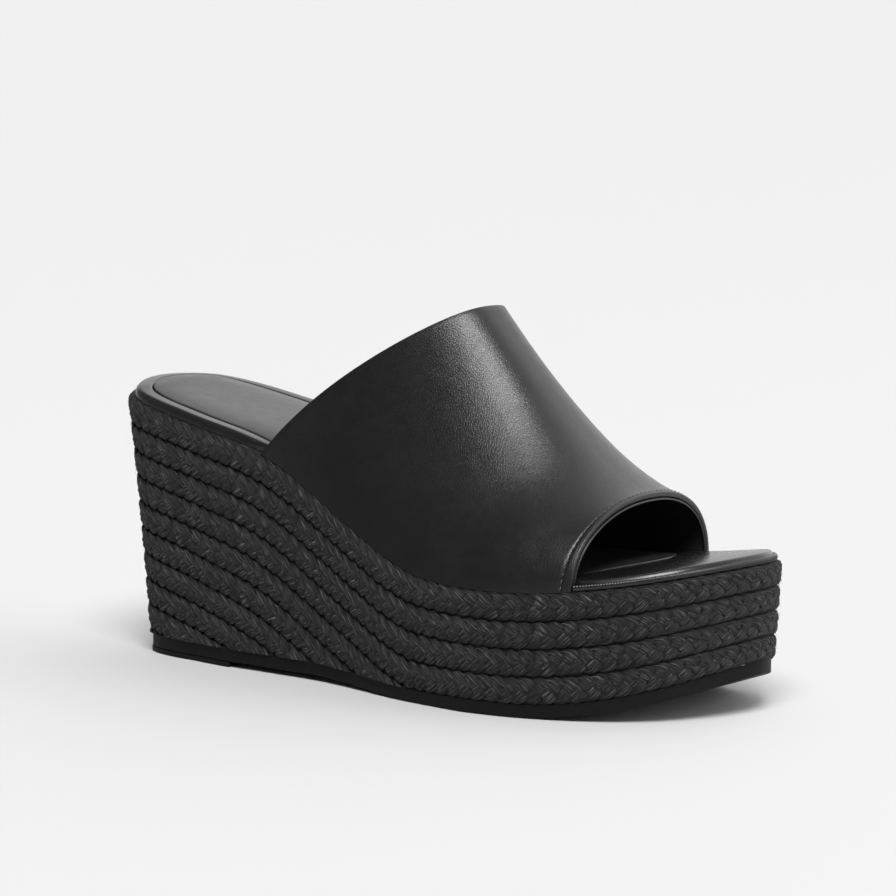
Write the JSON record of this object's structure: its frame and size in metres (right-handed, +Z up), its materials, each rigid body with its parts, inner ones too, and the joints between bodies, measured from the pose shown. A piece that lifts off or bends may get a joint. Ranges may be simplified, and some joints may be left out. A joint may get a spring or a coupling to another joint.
{
  "type": "wedge mule sandal",
  "caption": "Open-toe mule on a high wedge and platform wrapped in black braid, with a broad smooth leather band over the foot.",
  "frame": {"origin": "centre of the sandal's box in plan, at the height of the surface it stands on", "axes": "+X from the heel to the toe, +Y to the medial (inner) side, +Z up; it is a right-foot shoe"},
  "size_m": [0.2496, 0.093, 0.1239],
  "materials": {
    "rubber": "matt moulded rubber, fine texture",
    "cork": "pressed cork, not seen from outside",
    "jute_braid": "black plaited jute, dry and fibrous",
    "insole_fibreboard": "pressed fibreboard, not seen from outside",
    "foam": "open-cell latex foam",
    "nappa": "smooth black nappa, satin, fine grain",
    "sock_leather": "black glove leather, satin",
    "interlining": "woven cotton backing",
    "lining": "black matt lining leather",
    "thread": "black bonded thread"
  },
  "bodies": {
    "root": {"braid_course_01": "jute_braid", "braid_course_02": "jute_braid", "braid_course_03": "jute_braid", "braid_course_04": "jute_braid", "braid_course_05": "jute_braid", "braid_course_06": "jute_braid", "braid_course_07": "jute_braid", "braid_course_08": "jute_braid", "braid_course_09": "jute_braid", "braid_course_10": "jute_braid", "footbed_foam": "foam", "heel_lift": "rubber", "insole_board": "insole_fibreboard", "insole_wrap": "nappa", "outsole": "rubber", "sock_lining": "sock_leather", "toe_bead": "nappa", "toe_edge_binding": "nappa", "toe_edge_stitching": "thread", "upper_interlining": "interlining", "upper_leather": "nappa", "upper_lining": "lining", "wedge_core": "cork"}
  },
  "joints": []
}
